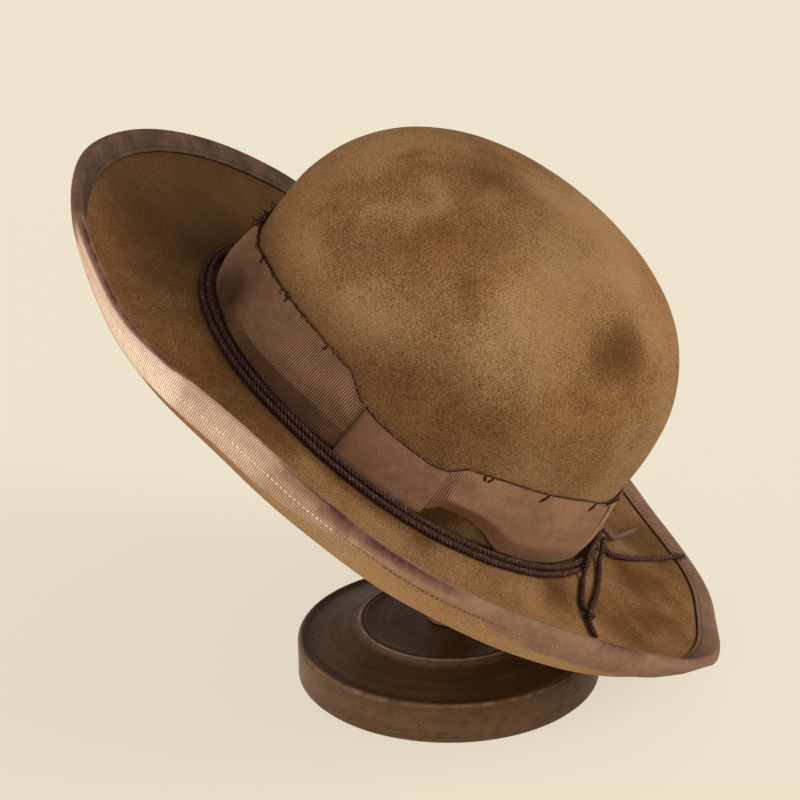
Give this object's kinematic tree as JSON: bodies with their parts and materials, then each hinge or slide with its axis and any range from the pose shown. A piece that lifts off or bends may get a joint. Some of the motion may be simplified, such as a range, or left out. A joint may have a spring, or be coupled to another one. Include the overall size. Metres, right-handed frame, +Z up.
{
  "type": "felt hat on a wooden display stand",
  "caption": "Felt hat with a round crown, a ribbon band, a knotted cord and a curled, bound brim, tilted on a turned wooden display stand.",
  "frame": {"origin": "centre of the underside of the stand's base, on the table", "axes": "+Z up along the stand's post, +X towards the back of the hat, which is the low end of its brim, -Y towards the picture's camera"},
  "size_m": [0.2902, 0.3381, 0.2648],
  "materials": {
    "tan_felt": "brushed fur felt, worn and smudged",
    "brown_ribbon": "ribbed grosgrain, frayed along its edges",
    "dark_cord": "twisted cord, matt",
    "dark_wood": "turned and stained wood, worn at its edges"
  },
  "bodies": {
    "root": {"felt_body": "tan_felt", "brim_binding": "brown_ribbon", "ribbon_band": "brown_ribbon", "bow_wrap": "brown_ribbon", "cord_turn_upper": "dark_cord", "cord_turn_lower": "dark_cord", "cord_knot": "dark_cord", "cord_loop_knot": "dark_cord", "cord_loop_left": "dark_cord", "cord_loop_right": "dark_cord", "cord_loop_tail": "dark_cord", "cord_end_long": "dark_cord", "cord_end_short": "dark_cord", "stand_base": "dark_wood", "stand_post": "dark_wood"}
  },
  "joints": []
}
